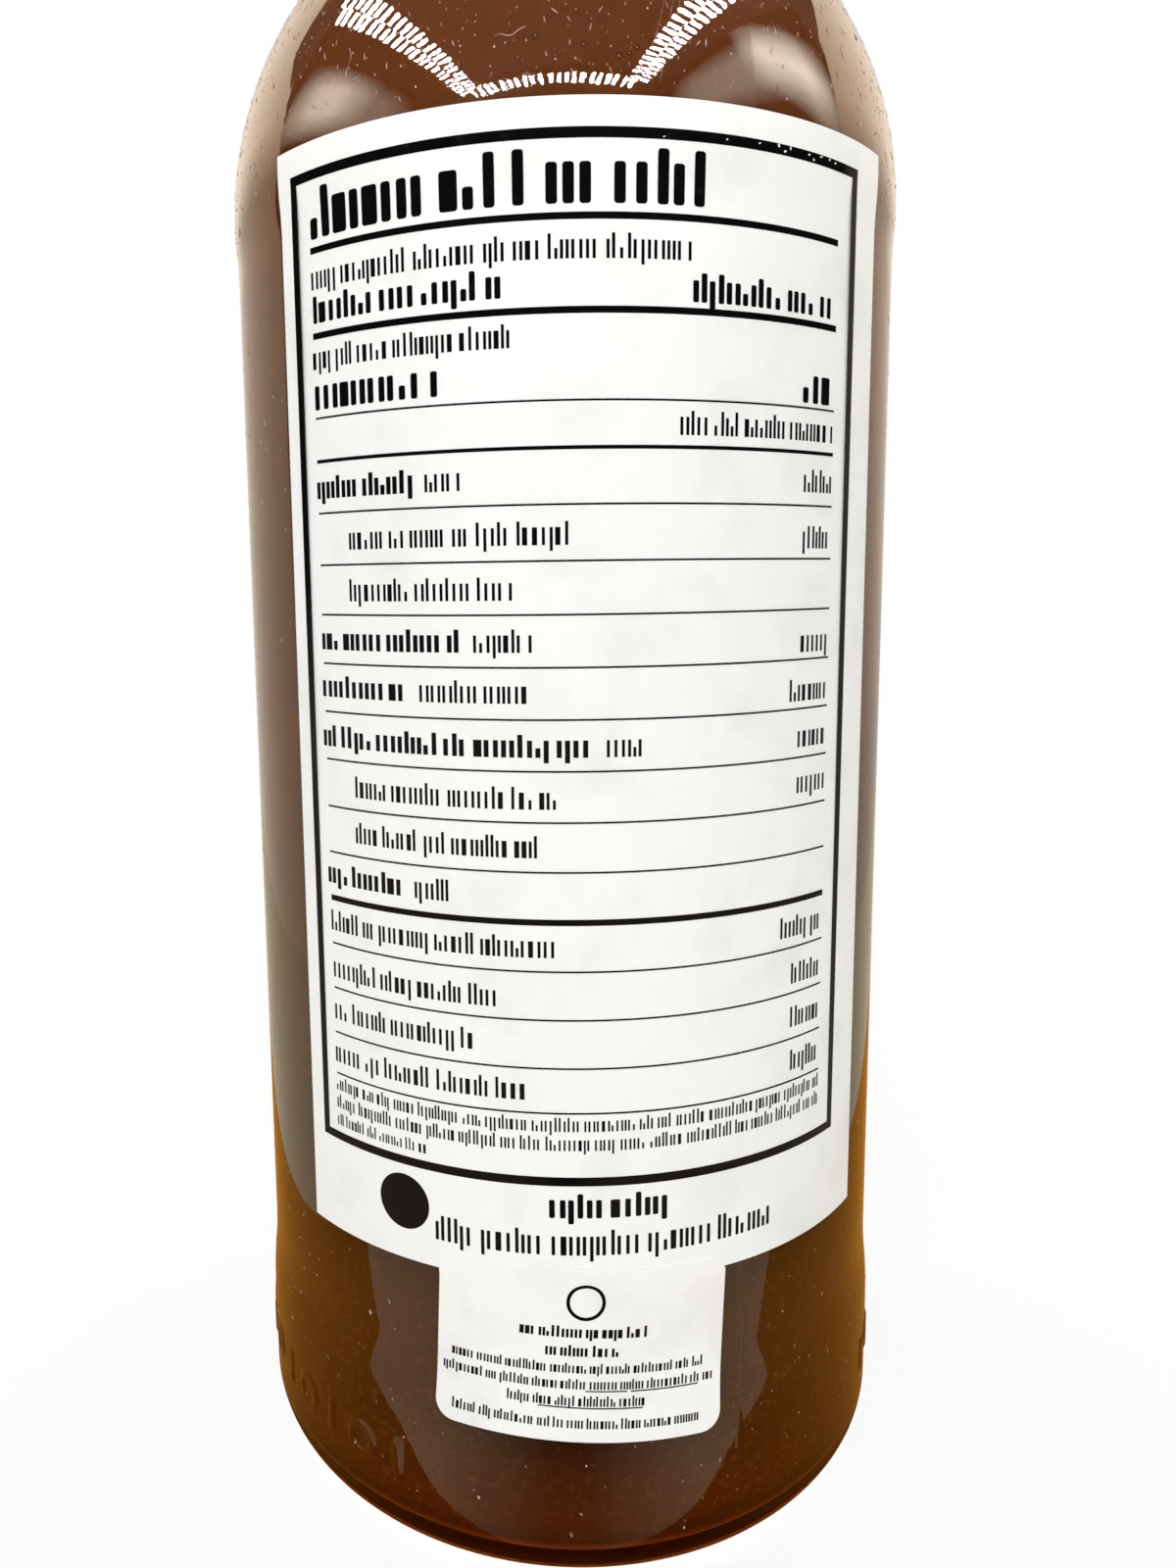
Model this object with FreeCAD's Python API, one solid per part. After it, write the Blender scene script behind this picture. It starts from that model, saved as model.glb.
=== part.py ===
import FreeCAD, Part
import math
import os

# A sloping-shoulder glass sauce bottle, filled with fermented fish paste and
# closed with a ribbed screw cap. A paper label is stuck round the front of the
# straight wall, and a small sticker laps over the label's lower edge.
# Millimetres. The bottle's axis is Z, it stands on Z = 0 and its label faces -Y.
# Azimuths are in degrees, from -Y towards +X.

# ---- glass body, outside ----
panel_r = 30.0              # straight wall that carries the label
panel_h = 89.0              # height of that wall
heel_step = 0.4             # the heel band stands this proud of the panel
heel_h = 13.0               # base to the top of the heel band
heel_blend_h = 7.5          # soft step from the heel band up to the panel
heel_side_r = 4.0           # first arc of the heel's corner, next to the wall
heel_side_turn = 60.0       # degrees that the first arc turns
heel_under_r = 12.0         # second arc, which runs on under the base
bearing_w = 2.0             # flat ring that the bottle stands on
push_up_h = 2.0             # hollow under the base
shoulder_step = 0.2         # the shoulder's widest ring, proud of the panel
shoulder_blend_h = 4.5      # soft step from the panel up to that ring
dome_r = 30.0               # arc of the round shoulder
neck_sweep_r = 16.0         # hollow arc from the shoulder into the neck
neck_taper = 3.0            # degrees that each side of the neck leans in
neck_h = 26.0               # tapered neck, up to the bead

# ---- glass body, inside ----
wall = 2.8                  # glass behind the label
floor_t = 2.5               # glass over the push-up
floor_dome_r = 103.0        # the floor rises a little towards its middle
floor_corner_r = 4.0        # round between the floor and the wall
bore_r = 8.75               # straight bore through the finish

# ---- finish: the bead, the thread and the lip ----
finish_r = 12.45            # glass behind the thread
finish_h = 13.8             # top of the bead to the rim
bead_h = 3.4
bead_out = 2.2              # the bead stands this proud of the finish
lip_round = 1.0
thread_out = 1.3            # the thread stands this proud of the finish
thread_pitch = 3.6
thread_root_w = 1.8
thread_crest_w = 0.8
thread_turns = 1.5
thread_drop = 2.4           # rim down to the middle of the thread's top end
thread_sink = 0.4           # both threads start this deep in their walls

# ---- raised marks round the heel band ----
mark_out = 0.3              # the marks stand this proud of the band
mark_sink = 0.6             # and start this deep in it
mark_h = 3.2
mark_bar_w = 0.8
mark_ring_w = 0.6           # wall of a round mark
mark_z = 9.6                # middle of the marks
mark_pitch = 7.0            # degrees from one mark to the next
mark_arcs = [(-58.0, -28.0), (66.0, 171.0), (189.0, 294.0)]   # azimuths

# ---- fill ----
headspace_h = 40.0          # rim down to the top of the paste

# ---- cap ----
cap_clear = 0.3             # cap's bore to the crest of the glass thread
cap_side = 1.5              # skirt wall, bore to the tops of the ribs
cap_roof = 1.6
cap_gap = 0.8               # bead up to the lower edge of the skirt
cap_ribs = 60
cap_rib_depth = 0.35
cap_round = 2.2             # round edge of the roof
cap_thread_clear = 0.5      # crest of the cap's thread to the finish
cap_thread_crest_w = 0.5
cap_thread_turns = 1.0

# ---- label and sticker ----
label_t = 0.12
label_w = 53.6              # measured round the panel
label_middle = 4.85         # azimuth of the label's middle
label_foot = 7.4            # foot of the panel up to the label's lower edge
label_rise = 1.5            # the label's top edge, above the shoulder's widest ring
sticker_t = 0.15
sticker_w = 23.4            # straight across
sticker_h = 14.8
sticker_middle = 1.15       # off the bottle's middle, towards +X
sticker_lean = 2.5          # degrees, its right-hand end lower
sticker_lap = 1.5           # how far its middle laps over the label
sticker_round = 1.6
lap_tent = 0.6              # it leaves the glass this far below the label's edge

# ---- sizes that follow from those ----
heel_r = panel_r + heel_step
shoulder_r = panel_r + shoulder_step
inner_r = panel_r - wall
dome_axis = shoulder_r - dome_r                       # off the bottle's axis
inner_dome_r = inner_r - dome_axis
inner_sweep_r = neck_sweep_r + dome_r - inner_dome_r

panel_z = heel_h + heel_blend_h
shoulder_z = panel_z + panel_h + shoulder_blend_h

neck_foot_r = finish_r + neck_h * math.tan(math.radians(neck_taper))
sweep_axis = neck_foot_r + neck_sweep_r * math.cos(math.radians(neck_taper))
dome_turn = math.degrees(math.acos((sweep_axis - dome_axis) / (dome_r + neck_sweep_r)))
sweep_z = shoulder_z + (dome_r + neck_sweep_r) * math.sin(math.radians(dome_turn))
neck_foot_z = sweep_z - neck_sweep_r * math.sin(math.radians(neck_taper))
bead_z = neck_foot_z + neck_h
bead_top_z = bead_z + bead_h
rim_z = bead_top_z + finish_h
fill_z = rim_z - headspace_h

thread_r = finish_r + thread_out
cap_bore_r = thread_r + cap_clear
cap_r = cap_bore_r + cap_side
cap_foot_z = bead_top_z + cap_gap
cap_top_z = rim_z + cap_roof

label_z = panel_z + label_foot
label_top_z = shoulder_z + label_rise
label_half = math.degrees(label_w / 2 / panel_r)
sticker_mid_z = label_z + sticker_lap - sticker_h / 2
sticker_reach = (sticker_w + sticker_h) / 2           # past its leaning corners

up = FreeCAD.Vector(0, 0, 1)
here = FreeCAD.Vector(0, 0, 0)
joined = 1e-6               # points nearer than this are one point


# ---- outlines in the plane Y = 0, as (radius, height) ----
def at(r, z):
    return FreeCAD.Vector(r, 0, z)


def on_arc(centre, radius, angle):
    """The point of an arc at an angle in degrees, from +X towards +Z."""
    turn = math.radians(angle)
    return at(centre[0] + radius * math.cos(turn), centre[1] + radius * math.sin(turn))


def arc(centre, radius, start, end):
    middle = (start + end) / 2
    points = [on_arc(centre, radius, angle) for angle in (start, middle, end)]
    return Part.Arc(*points).toShape()


def line(a, b):
    return Part.LineSegment(a, b).toShape()


def soft_step(r_low, z_low, r_high, z_high):
    """Two equal arcs that take a vertical wall to another radius."""
    rise, out = z_high - z_low, r_high - r_low
    radius = (rise ** 2 + out ** 2) / (4 * abs(out))
    turn = math.degrees(math.asin(rise / 2 / radius))
    if out > 0:
        return [arc((r_low + radius, z_low), radius, 180, 180 - turn),
                arc((r_high - radius, z_high), radius, -turn, 0)]
    return [arc((r_low - radius, z_low), radius, 0, turn),
            arc((r_high + radius, z_high), radius, 180 + turn, 180)]


def heel():
    """The hollow base, the bearing ring and the heel's corner, out to the heel band."""
    side_turn = math.radians(heel_side_turn)
    corner_z = heel_side_r * math.sin(side_turn) + heel_under_r * (1 - math.sin(side_turn))
    side_centre = (heel_r - heel_side_r, corner_z)
    spread = heel_under_r - heel_side_r
    under_centre = (side_centre[0] - spread * math.cos(side_turn), heel_under_r)
    bearing_out = under_centre[0]
    bearing_in = bearing_out - bearing_w
    push_up_r = (bearing_in ** 2 + push_up_h ** 2) / (2 * push_up_h)
    push_up_turn = math.degrees(math.asin(bearing_in / push_up_r))
    return [
        arc((0, push_up_h - push_up_r), push_up_r, 90, 90 - push_up_turn),
        line(at(bearing_in, 0), at(bearing_out, 0)),
        arc(under_centre, heel_under_r, -90, -heel_side_turn),
        arc(side_centre, heel_side_r, -heel_side_turn, 0),
        line(at(heel_r, corner_z), at(heel_r, heel_h)),
    ]


def outside():
    """The whole outside of the glass, from the axis under the base to the lip."""
    edges = heel()
    edges += soft_step(heel_r, heel_h, panel_r, panel_z)
    edges += [line(at(panel_r, panel_z), at(panel_r, panel_z + panel_h))]
    edges += soft_step(panel_r, panel_z + panel_h, shoulder_r, shoulder_z)
    edges += [
        arc((dome_axis, shoulder_z), dome_r, 0, dome_turn),
        arc((sweep_axis, sweep_z), neck_sweep_r, 180 + dome_turn, 180 + neck_taper),
        line(at(neck_foot_r, neck_foot_z), at(finish_r, bead_z)),
        Part.Arc(at(finish_r, bead_z), at(finish_r + bead_out, bead_z + bead_h / 2),
                 at(finish_r, bead_top_z)).toShape(),
        line(at(finish_r, bead_top_z), at(finish_r, rim_z - lip_round)),
        arc((finish_r - lip_round, rim_z - lip_round), lip_round, 0, 90),
    ]
    return edges


def inside():
    """The cavity, from the lip down to the axis on the floor."""
    dome_centre = (dome_axis, shoulder_z)
    sweep_centre = (sweep_axis, sweep_z)
    floor_top = push_up_h + floor_t
    corner_axis = inner_r - floor_corner_r
    reach = floor_dome_r + floor_corner_r
    corner_z = floor_top - floor_dome_r + math.sqrt(reach ** 2 - corner_axis ** 2)
    floor_turn = math.degrees(math.asin(corner_axis / reach))
    neck_foot = on_arc(sweep_centre, inner_sweep_r, 180 + neck_taper)
    return [
        arc((bore_r + lip_round, rim_z - lip_round), lip_round, 90, 180),
        line(at(bore_r, rim_z - lip_round), at(bore_r, bead_z)),
        line(at(bore_r, bead_z), neck_foot),
        arc(sweep_centre, inner_sweep_r, 180 + neck_taper, 180 + dome_turn),
        arc(dome_centre, inner_dome_r, dome_turn, 0),
        line(at(inner_r, shoulder_z), at(inner_r, corner_z)),
        arc((corner_axis, corner_z), floor_corner_r, 0, -90 - floor_turn),
        arc((0, floor_top - floor_dome_r), floor_dome_r, 90 - floor_turn, 90),
    ]


def spun(edges):
    """A solid of revolution from edges that make a closed outline in any order."""
    outline = Part.Wire(Part.__sortEdges__(edges))
    return Part.Face(outline).revolve(here, up, 360)


def filled(edges, foot_z, top_z):
    """The solid out to an outline that starts and ends on, or beside, the axis."""
    low, high = at(0, foot_z), at(0, top_z)
    start = edges[0].Vertexes[0].Point
    finish = edges[-1].Vertexes[-1].Point
    if not start.isEqual(low, joined):
        edges = [line(low, start)] + edges
    if not finish.isEqual(high, joined):
        edges = edges + [line(finish, high)]
    return spun(edges + [line(high, low)])


# ---- glass ----
def thread_ridge(root_r, crest_r, crest_w, z_low, turns):
    """A helical ridge whose root is sunk into the wall that it grows from."""
    inward = 1 if root_r > crest_r else -1
    helix = Part.makeHelix(thread_pitch, thread_pitch * turns, root_r)
    root = root_r + inward * thread_sink
    section = Part.makePolygon([
        at(root, -thread_root_w / 2), at(crest_r, -crest_w / 2),
        at(crest_r, crest_w / 2), at(root, thread_root_w / 2),
        at(root, -thread_root_w / 2)])
    ridge = Part.Wire(helix).makePipeShell([section], True, True)
    ridge.translate(FreeCAD.Vector(0, 0, z_low))
    return ridge


def turned(shape, azimuth):
    """The shape, made facing +X, turned to an azimuth measured from -Y."""
    copy = shape.copy()
    copy.rotate(here, up, azimuth - 90)
    return copy


def heel_marks():
    """Raised bars and rings, in turn, round the heel band."""
    depth = mark_sink + mark_out
    foot = at(heel_r - mark_sink, mark_z)
    out = FreeCAD.Vector(1, 0, 0)
    ring = Part.makeCylinder(mark_h / 2, depth, foot, out)
    ring = ring.cut(Part.makeCylinder(mark_h / 2 - mark_ring_w, depth, foot, out))
    bar = Part.makeBox(depth, mark_bar_w, mark_h,
                       foot - FreeCAD.Vector(0, mark_bar_w / 2, mark_h / 2))
    marks = []
    for first, last in mark_arcs:
        steps = round((last - first) / mark_pitch)
        for step in range(steps + 1):
            shape = ring if step % 2 else bar
            marks.append(turned(shape, first + step * (last - first) / steps))
    return marks


thread_low_z = rim_z - thread_drop - thread_pitch * thread_turns

envelope = filled(outside(), push_up_h, rim_z)
cavity = filled(inside(), rim_z, push_up_h + floor_t)
rim = line(at(finish_r - lip_round, rim_z), at(bore_r + lip_round, rim_z))
axis_edge = line(at(0, push_up_h + floor_t), at(0, push_up_h))
bottle = spun(outside() + [rim] + inside() + [axis_edge])
glass_thread = thread_ridge(finish_r, thread_r, thread_crest_w, thread_low_z, thread_turns)
bottle = bottle.fuse([glass_thread] + heel_marks()).removeSplitter()


# ---- paste: everything in the cavity up to the fill level ----
def paste():
    column = Part.makeCylinder(panel_r, fill_z)
    return cavity.common(column)


# ---- paper: bands that follow the glass ----
def grown(out):
    """The bottle's outside, moved out from the axis."""
    edges = outside()
    for edge in edges:
        edge.translate(FreeCAD.Vector(out, 0, 0))
    return filled(edges, push_up_h, rim_z)


def label():
    window = Part.makeCylinder(2 * panel_r, label_top_z - label_z, at(0, label_z), up,
                               2 * label_half)
    window = turned(window, label_middle - label_half)
    return grown(label_t).cut(envelope).common(window)


def sticker_window():
    """A leaning prism in front of the axis, with the sticker's four round corners."""
    across = sticker_w / 2 - sticker_round
    along = sticker_h / 2 - sticker_round
    quarters = [(across, along, 0), (-across, along, 90),
                (-across, -along, 180), (across, -along, 270)]
    edges = []
    for index, (x, z, angle) in enumerate(quarters):
        next_x, next_z, _ = quarters[(index + 1) % 4]
        leave = on_arc((x, z), sticker_round, angle + 90)
        meet = on_arc((next_x, next_z), sticker_round, angle + 90)
        edges += [arc((x, z), sticker_round, angle, angle + 90), line(leave, meet)]
    prism = Part.Face(Part.Wire(edges)).extrude(FreeCAD.Vector(0, -2 * panel_r, 0))
    prism.rotate(here, FreeCAD.Vector(0, 1, 0), sticker_lean)
    prism.translate(at(sticker_middle, sticker_mid_z))
    return prism


def slab(z_low, z_high):
    return Part.makeCylinder(2 * panel_r, z_high - z_low, at(0, z_low))


def sticker(paper):
    """On the glass below the label, then over the label's lower edge."""
    lift_z = label_z - lap_tent
    on_glass = grown(sticker_t).cut(envelope)
    on_glass = on_glass.common(slab(sticker_mid_z - sticker_reach, lift_z))
    on_label = grown(label_t + sticker_t).cut(envelope)
    on_label = on_label.common(slab(lift_z, sticker_mid_z + sticker_reach))
    return on_glass.fuse(on_label.cut(paper)).common(sticker_window())


# ---- cap ----
def ribbed_column(radius, height, z_low):
    """A column whose side is a ring of shallow round ribs."""
    step = 2 * math.pi / cap_ribs
    valley_r = radius - cap_rib_depth

    def spot(r, turn):
        return FreeCAD.Vector(r * math.cos(turn), r * math.sin(turn), z_low)

    ribs = [Part.Arc(spot(valley_r, i * step), spot(radius, (i + 0.5) * step),
                     spot(valley_r, (i + 1) * step)).toShape() for i in range(cap_ribs)]
    return Part.Face(Part.Wire(ribs)).extrude(FreeCAD.Vector(0, 0, height))


def cap():
    height = cap_top_z - cap_foot_z
    column = ribbed_column(cap_r, height, cap_foot_z)
    round_centre = (cap_r - cap_round, cap_top_z - cap_round)
    blank = spun([
        line(at(0, cap_foot_z), at(cap_r, cap_foot_z)),
        line(at(cap_r, cap_foot_z), at(cap_r, cap_top_z - cap_round)),
        arc(round_centre, cap_round, 0, 90),
        line(at(cap_r - cap_round, cap_top_z), at(0, cap_top_z)),
        line(at(0, cap_top_z), at(0, cap_foot_z)),
    ])
    shell = column.common(blank)
    shell = shell.cut(Part.makeCylinder(cap_bore_r, rim_z - cap_foot_z, at(0, cap_foot_z)))
    # The cap's thread lies half a pitch under the glass thread.
    ridge = thread_ridge(cap_bore_r, finish_r + cap_thread_clear, cap_thread_crest_w,
                         thread_low_z - thread_pitch / 2, cap_thread_turns)
    return shell.fuse(ridge).removeSplitter()


os.makedirs("parts", exist_ok=True)
paper = label()
nodes = {
    "bottle": bottle,
    "bagoong_paste": paste(),
    "label": paper,
    "sticker": sticker(paper),
    "cap": cap(),
}
for name, shape in nodes.items():
    solids = shape.Solids
    whole = solids[0] if len(solids) == 1 else shape
    whole.exportStep("parts/" + name + ".step")
    print(name, "solids", len(solids), "valid", whole.isValid(), "mm3", round(whole.Volume))
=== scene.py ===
import math
import random

import bmesh
import bpy
from mathutils import Matrix, Vector, noise


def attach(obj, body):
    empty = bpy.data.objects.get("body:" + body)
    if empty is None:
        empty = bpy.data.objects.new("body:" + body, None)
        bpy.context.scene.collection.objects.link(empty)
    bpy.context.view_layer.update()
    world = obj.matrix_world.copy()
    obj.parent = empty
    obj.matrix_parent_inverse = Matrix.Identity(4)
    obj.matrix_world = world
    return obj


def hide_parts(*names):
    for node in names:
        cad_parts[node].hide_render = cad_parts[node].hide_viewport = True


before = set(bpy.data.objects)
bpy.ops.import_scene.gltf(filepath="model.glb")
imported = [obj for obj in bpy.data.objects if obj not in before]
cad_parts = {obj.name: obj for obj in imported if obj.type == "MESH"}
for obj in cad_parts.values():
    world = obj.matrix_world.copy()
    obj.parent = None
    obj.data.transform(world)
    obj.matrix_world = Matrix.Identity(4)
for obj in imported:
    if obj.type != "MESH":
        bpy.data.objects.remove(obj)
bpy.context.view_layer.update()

mm = 0.001
scene = bpy.context.scene

# ---- Glass bottle ----
# A round bottle of clear glass, blown in a two-part mould. It has a hollow base, a heel band
# with raised marks, a straight panel for the label, a round shoulder, a tapered neck and a
# beaded, threaded finish. Its outline is drawn from lines and arcs and spun round the axis.
panel_r = 30.0 * mm
panel_h = 89.0 * mm
heel_step = 0.4 * mm
heel_h = 13.0 * mm
heel_blend_h = 7.5 * mm
heel_side_r = 4.0 * mm
heel_side_turn = 60.0
heel_under_r = 12.0 * mm
bearing_w = 2.0 * mm
push_up_h = 2.0 * mm
shoulder_step = 0.2 * mm
shoulder_blend_h = 4.5 * mm
dome_r = 30.0 * mm
neck_sweep_r = 16.0 * mm
neck_taper = 3.0
neck_h = 26.0 * mm
wall = 2.8 * mm
floor_t = 2.5 * mm
floor_dome_r = 103.0 * mm
floor_corner_r = 4.0 * mm
bore_r = 8.75 * mm
finish_r = 12.45 * mm
finish_h = 13.8 * mm
bead_h = 3.4 * mm
bead_out = 2.2 * mm
lip_round = 1.0 * mm
glass_segments = 240
tiny = 0.001 * mm

heel_r = panel_r + heel_step
shoulder_r = panel_r + shoulder_step
panel_z = heel_h + heel_blend_h
shoulder_foot_z = panel_z + panel_h
shoulder_z = shoulder_foot_z + shoulder_blend_h
dome_axis = shoulder_r - dome_r
neck_foot_r = finish_r + neck_h * math.tan(math.radians(neck_taper))
sweep_axis = neck_foot_r + neck_sweep_r * math.cos(math.radians(neck_taper))
dome_turn = math.degrees(math.acos((sweep_axis - dome_axis) / (dome_r + neck_sweep_r)))
dome_top_z = shoulder_z + dome_r * math.sin(math.radians(dome_turn))
sweep_z = shoulder_z + (dome_r + neck_sweep_r) * math.sin(math.radians(dome_turn))
neck_foot_z = sweep_z - neck_sweep_r * math.sin(math.radians(neck_taper))
bead_z = neck_foot_z + neck_h
bead_top_z = bead_z + bead_h
rim_z = bead_top_z + finish_h

corner_z = (heel_side_r * math.sin(math.radians(heel_side_turn))
            + heel_under_r * (1 - math.sin(math.radians(heel_side_turn))))
side_centre = (heel_r - heel_side_r, corner_z)
under_axis = (side_centre[0]
              - (heel_under_r - heel_side_r) * math.cos(math.radians(heel_side_turn)))
bearing_in = under_axis - bearing_w
push_up_r = (bearing_in ** 2 + push_up_h ** 2) / (2 * push_up_h)
push_up_turn = math.degrees(math.asin(bearing_in / push_up_r))

inner_r = panel_r - wall
inner_dome_r = inner_r - dome_axis
inner_sweep_r = neck_sweep_r + dome_r - inner_dome_r
floor_top = push_up_h + floor_t
floor_corner_axis = inner_r - floor_corner_r
floor_reach = floor_dome_r + floor_corner_r
floor_corner_z = floor_top - floor_dome_r + math.sqrt(floor_reach ** 2 - floor_corner_axis ** 2)
floor_turn = math.degrees(math.asin(floor_corner_axis / floor_reach))


def whole(built):
    return built.verts[:] + built.edges[:] + built.faces[:]


def new_outline(r, z):
    outline = bmesh.new()
    return outline, outline.verts.new((r, 0, z))


def run_line(outline, tip, r, z):
    """Carries the outline on from its tip along a straight line."""
    tip = bmesh.ops.extrude_vert_indiv(outline, verts=[tip])["verts"][0]
    tip.co = (r, 0, z)
    return tip


def run_arc(outline, tip, centre, turn, steps):
    """Carries the outline on along an arc. Turns are in degrees, from +X towards +Z."""
    spun = bmesh.ops.spin(outline, geom=[tip], cent=(centre[0], 0, centre[1]), axis=(0, -1, 0),
                          angle=math.radians(turn), steps=steps, use_duplicate=False)
    return [part for part in spun["geom_last"] if isinstance(part, bmesh.types.BMVert)][0]


def run_soft_step(outline, tip, r_high, z_high, steps):
    """Carries a wall on to another radius by two equal arcs."""
    r_low, z_low = tip.co.x, tip.co.z
    rise, out = z_high - z_low, r_high - r_low
    radius = (rise ** 2 + out ** 2) / (4 * abs(out))
    turn = math.degrees(math.asin(rise / 2 / radius))
    side = 1 if out > 0 else -1
    tip = run_arc(outline, tip, (r_low + side * radius, z_low), -side * turn, steps)
    return run_arc(outline, tip, (r_high - side * radius, z_high), side * turn, steps)


def run_on(outline, tip, *strokes):
    """Carries the outline on by several strokes: (r, z) is a line, (centre, turn, steps) an arc
    and (r, z, steps) a soft step."""
    for stroke in strokes:
        if len(stroke) == 2:
            tip = run_line(outline, tip, *stroke)
        elif isinstance(stroke[0], tuple):
            tip = run_arc(outline, tip, *stroke)
        else:
            tip = run_soft_step(outline, tip, *stroke)
    return tip


def spin_round(outline, segments):
    """Spins an outline round Z, and closes its seam and its poles."""
    bmesh.ops.spin(outline, geom=outline.verts[:] + outline.edges[:], cent=(0, 0, 0),
                   axis=(0, 0, 1), angle=2 * math.pi, steps=segments, use_merge=True,
                   use_duplicate=False)
    bmesh.ops.remove_doubles(outline, verts=outline.verts, dist=0.1 * tiny)
    bmesh.ops.recalc_face_normals(outline, faces=outline.faces)


def skin_r(z):
    """The glass's outside radius from the heel band up to the bead."""
    def soft_step(z_low, z_high, r_low, r_high):
        rise, out = z_high - z_low, r_high - r_low
        radius = (rise ** 2 + out ** 2) / (4 * abs(out))
        side = 1 if out > 0 else -1
        if z - z_low < rise / 2:
            return r_low + side * (radius - math.sqrt(radius ** 2 - (z - z_low) ** 2))
        return r_high - side * (radius - math.sqrt(radius ** 2 - (z_high - z) ** 2))

    if z <= corner_z:
        return side_centre[0] + math.sqrt(max(heel_side_r ** 2 - (z - corner_z) ** 2, 0))
    if z <= heel_h:
        return heel_r
    if z <= panel_z:
        return soft_step(heel_h, panel_z, heel_r, panel_r)
    if z <= shoulder_foot_z:
        return panel_r
    if z <= shoulder_z:
        return soft_step(shoulder_foot_z, shoulder_z, panel_r, shoulder_r)
    if z <= dome_top_z:
        return dome_axis + math.sqrt(dome_r ** 2 - (z - shoulder_z) ** 2)
    if z <= neck_foot_z:
        return sweep_axis - math.sqrt(neck_sweep_r ** 2 - (z - sweep_z) ** 2)
    return neck_foot_r - (z - neck_foot_z) * math.tan(math.radians(neck_taper))


sharp_angle = math.radians(40)


def show_piece(built, name, materials):
    """Turns a bmesh into a smooth-shaded object that keeps its sharp edges."""
    for face in built.faces:
        face.smooth = True
    mesh = bpy.data.meshes.new(name)
    built.to_mesh(mesh)
    built.free()
    mesh.set_sharp_from_angle(angle=sharp_angle)
    for material in materials:
        mesh.materials.append(material)
    piece = bpy.data.objects.new(name, mesh)
    scene.collection.objects.link(piece)
    return piece


def new_material(name, roughness, specular=0.5):
    """A Principled material, its shader, and Object coordinates to drive them."""
    material = bpy.data.materials.new(name)
    material.use_nodes = True
    nodes = material.node_tree.nodes
    shader = nodes["Principled BSDF"]
    shader.inputs["Roughness"].default_value = roughness
    shader.inputs["Specular IOR Level"].default_value = specular
    place = nodes.new("ShaderNodeTexCoord").outputs["Object"]
    return material, shader, place


def join(material, source, target):
    material.node_tree.links.new(source, target)


def noise_of(material, place, scale, detail=2.0, stretch=(1, 1, 1)):
    """Cloudy noise, scale in waves per metre, drawn out along an axis by a low stretch."""
    nodes = material.node_tree.nodes
    cloud = nodes.new("ShaderNodeTexNoise")
    cloud.inputs["Scale"].default_value = scale
    cloud.inputs["Detail"].default_value = detail
    mapping = nodes.new("ShaderNodeMapping")
    mapping.inputs["Scale"].default_value = stretch
    join(material, place, mapping.inputs["Vector"])
    join(material, mapping.outputs["Vector"], cloud.inputs["Vector"])
    return cloud.outputs["Fac"]


def ranged(material, value, low, high, to_low, to_high):
    """Maps a value from one range onto another, held at its ends."""
    spread = material.node_tree.nodes.new("ShaderNodeMapRange")
    spread.inputs["From Min"].default_value = low
    spread.inputs["From Max"].default_value = high
    spread.inputs["To Min"].default_value = to_low
    spread.inputs["To Max"].default_value = to_high
    join(material, value, spread.inputs["Value"])
    return spread.outputs["Result"]


def blended(material, share, first, second):
    """Mixes two colours, or the outputs of nodes, by a share."""
    mix = material.node_tree.nodes.new("ShaderNodeMix")
    mix.data_type = "RGBA"
    for letter, colour in (("A", first), ("B", second)):
        socket = [s for s in mix.inputs if s.name == letter and s.type == "RGBA"][0]
        if isinstance(colour, tuple):
            socket.default_value = (*colour, 1)
        else:
            join(material, colour, socket)
    factor = [s for s in mix.inputs if s.name == "Factor" and s.type == "VALUE"][0]
    join(material, share, factor)
    return [s for s in mix.outputs if s.type == "RGBA"][0]


def bumped(material, height, depth, normal=None):
    """A bump of that depth in metres, on top of another bump's normal."""
    bump = material.node_tree.nodes.new("ShaderNodeBump")
    bump.inputs["Distance"].default_value = depth
    join(material, height, bump.inputs["Height"])
    if normal is not None:
        join(material, normal, bump.inputs["Normal"])
    return bump.outputs["Normal"]


def dressed(material, shader, colour, roughness, normal):
    """Links a colour, a roughness and a normal to a material's shader."""
    join(material, colour, shader.inputs["Base Color"])
    join(material, roughness, shader.inputs["Roughness"])
    join(material, normal, shader.inputs["Normal"])


def mixed(material, share, first, second):
    """Mixes two shaders by a share."""
    mix = material.node_tree.nodes.new("ShaderNodeMixShader")
    for socket, source in zip(mix.inputs, (share, first, second)):
        join(material, source, socket)
    return mix.outputs["Shader"]


bead_r = ((bead_h / 2) ** 2 + bead_out ** 2) / (2 * bead_out)
bead_turn = 2 * math.degrees(math.asin(bead_h / 2 / bead_r))
if bead_out > bead_r:
    bead_turn = 360 - bead_turn
neck_inside = math.radians(180 + neck_taper)

mark_out = 0.16 * mm
mark_h = 3.2 * mm
mark_bar_w = 0.8 * mm
mark_ring_w = 0.6 * mm
mark_soft = 0.5 * mm
mark_z = 9.6 * mm
mark_pitch = 7.0
mark_arcs = [(-58.0, -28.0), (66.0, 171.0), (189.0, 294.0)]
band_rows = 20
band_columns = 4
band_half = mark_h / 2 + mark_soft

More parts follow.
